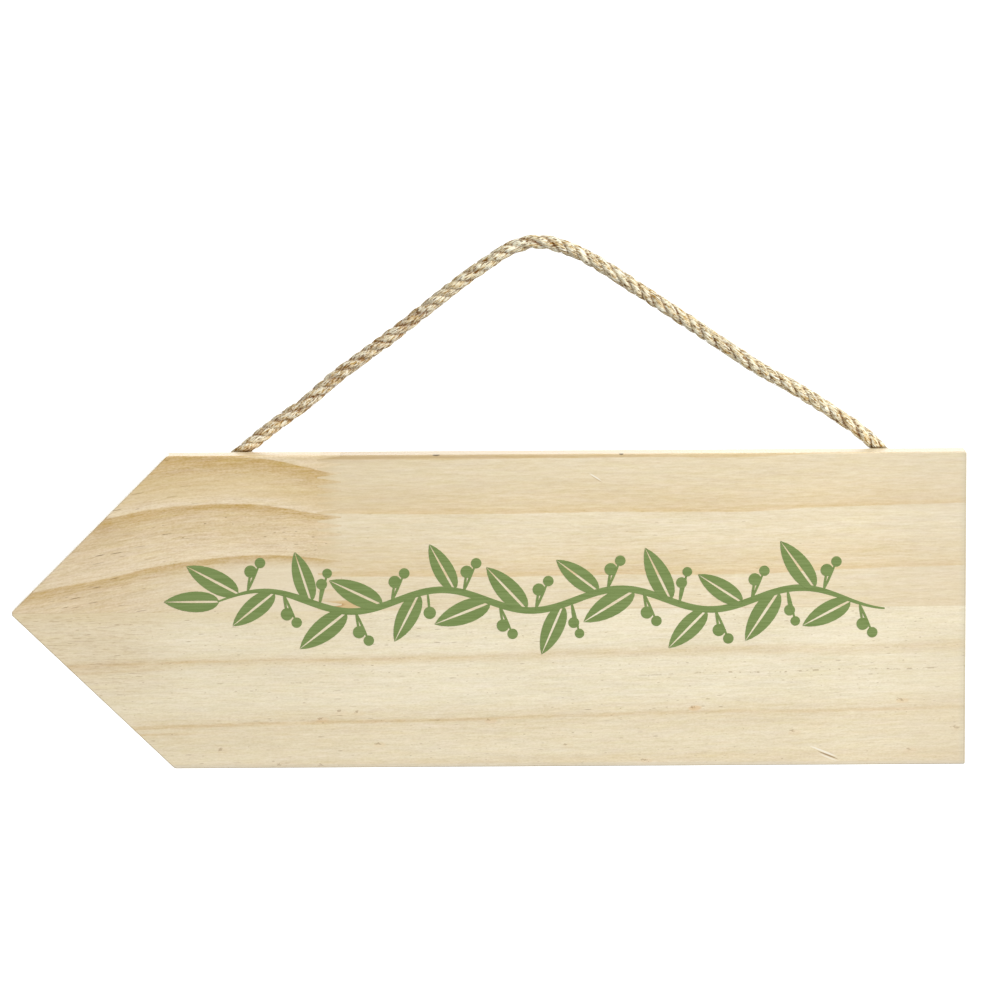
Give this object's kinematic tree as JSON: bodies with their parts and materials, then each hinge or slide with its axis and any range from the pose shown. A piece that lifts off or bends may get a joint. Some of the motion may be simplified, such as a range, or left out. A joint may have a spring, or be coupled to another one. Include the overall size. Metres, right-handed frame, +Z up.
{
  "type": "hanging wooden sign",
  "caption": "Arrow-shaped pine board that points sideways, glued up with a finger joint, with a printed leafy frieze, hung by a twisted rope stapled to its back.",
  "frame": {"origin": "where the rope bears on its hook: the underside of the rope at the top of its loop, in the plane of the rope's middle line", "axes": "+Z up, -Y out of the printed front face of the board, and the arrow points to -X"},
  "size_m": [0.3992, 0.0191, 0.223],
  "materials": {
    "pine_block": "planed and sanded, bare",
    "pine_upper": "planed and sanded, bare",
    "pine_lower": "planed and sanded, bare",
    "rope": "natural plant fibre, twisted and hairy",
    "staple_wire": "zinc-coated flat wire",
    "green_print": "flat olive green ink"
  },
  "bodies": {
    "root": {"point_block": "pine_block", "upper_strip": "pine_upper", "lower_strip": "pine_lower", "hanging_rope": "rope", "left_upper_staple": "staple_wire", "left_lower_staple": "staple_wire", "right_upper_staple": "staple_wire", "right_lower_staple": "staple_wire"}
  },
  "joints": []
}
